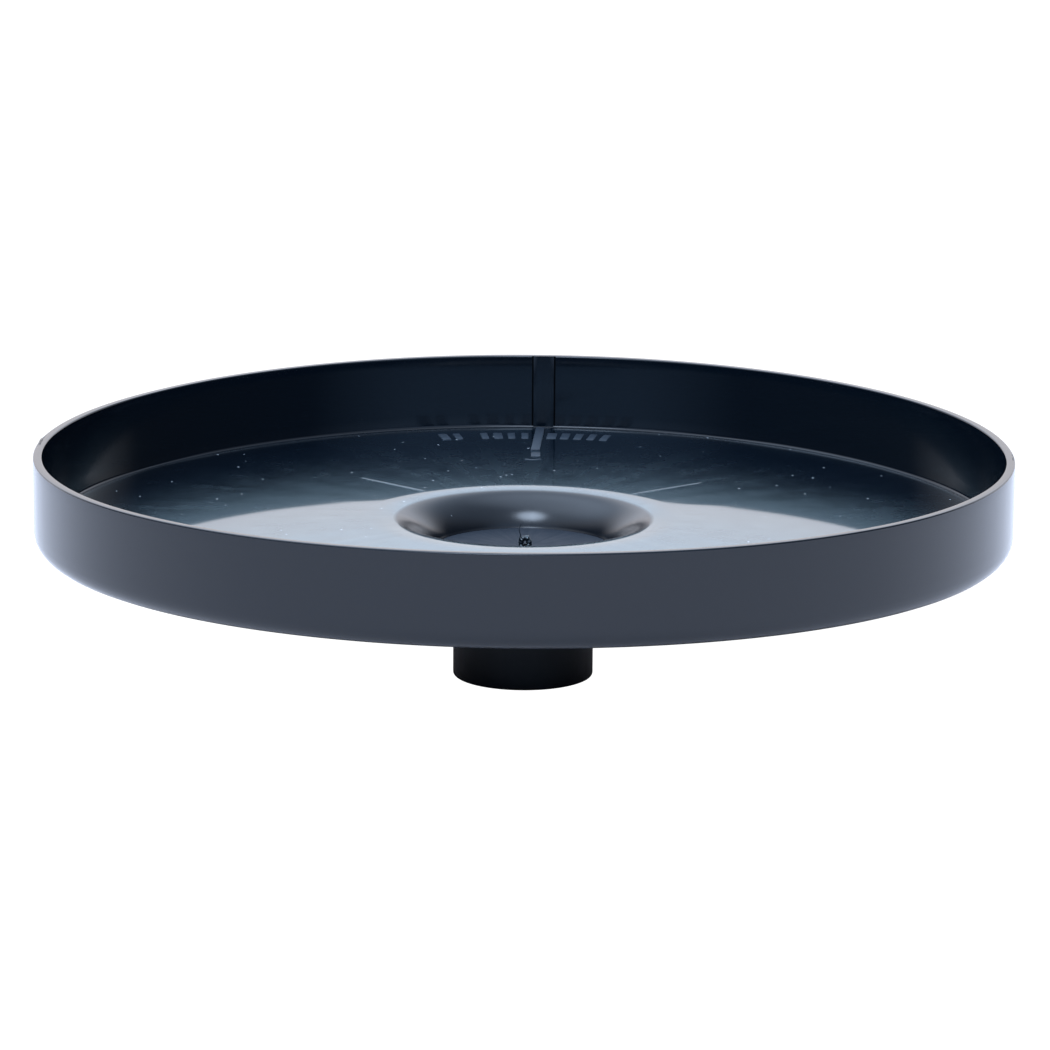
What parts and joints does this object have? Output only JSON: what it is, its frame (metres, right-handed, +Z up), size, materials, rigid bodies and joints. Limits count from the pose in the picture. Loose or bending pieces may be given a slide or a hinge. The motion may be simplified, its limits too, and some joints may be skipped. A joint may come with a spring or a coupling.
{
  "type": "umbrella stand drip tray",
  "caption": "Round shallow moulded drip tray for an umbrella stand, with a dished hub that holds a flanged hollow spigot, so the tray plugs onto or into the stand's post.",
  "frame": {"origin": "centre of the spigot's foot, the lowest plane of the part", "axes": "+Z up along the tray's axis, out of its open side; +Y towards the strip on the inner wall; +X to the right"},
  "size_m": [0.272, 0.272, 0.0657],
  "materials": {
    "tray_plastic": "glossy black moulded plastic with fine scuffs",
    "spigot_plastic": "black moulded plastic, slightly softer gloss",
    "seal_rubber": "matt black rubber",
    "collar_plastic": "satin black moulded plastic"
  },
  "bodies": {
    "root": {"tray": "tray_plastic", "hub_spigot": "spigot_plastic", "hub_seal": "seal_rubber", "lock_collar": "collar_plastic"}
  },
  "joints": []
}
